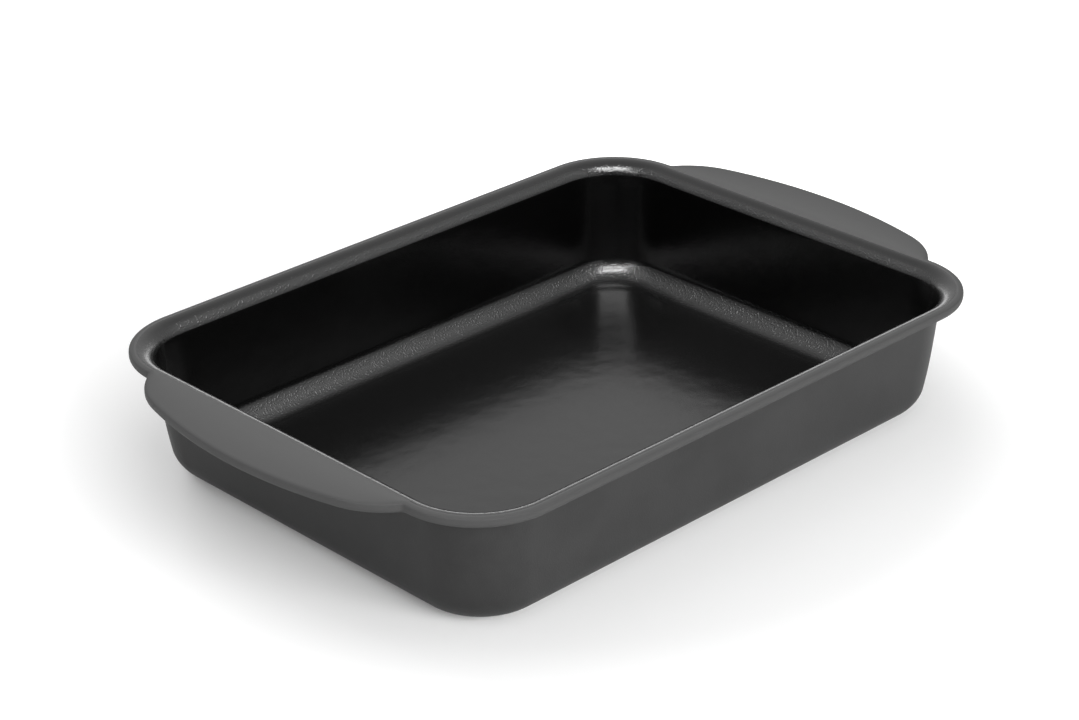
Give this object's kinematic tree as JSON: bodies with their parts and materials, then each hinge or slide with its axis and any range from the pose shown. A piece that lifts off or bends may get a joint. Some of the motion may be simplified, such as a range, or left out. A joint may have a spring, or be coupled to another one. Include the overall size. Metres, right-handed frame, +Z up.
{
  "type": "roasting pan",
  "caption": "Rectangular roasting pan of pressed steel with drafted walls, a rolled rim, wing handles at its short sides, a dark non-stick lining and a satin outer coat.",
  "frame": {"origin": "on the base's flat underside, under the middle of the pan", "axes": "+X along the long sides, from one handle to the other; +Y along the short sides; +Z up out of the pan"},
  "size_m": [0.412, 0.271, 0.0664],
  "materials": {
    "nonstick_lining": "semi-gloss black non-stick coat with a fine orange-peel grain",
    "sheet_steel": "bare cold-rolled sheet, hidden under both coats",
    "outer_coat": "smooth satin dark grey baked coat",
    "wire_steel": "drawn steel wire, hidden in the roll"
  },
  "bodies": {
    "root": {"nonstick_lining": "nonstick_lining", "steel_shell": "sheet_steel", "outer_coat": "outer_coat", "rim_wire": "wire_steel"}
  },
  "joints": []
}
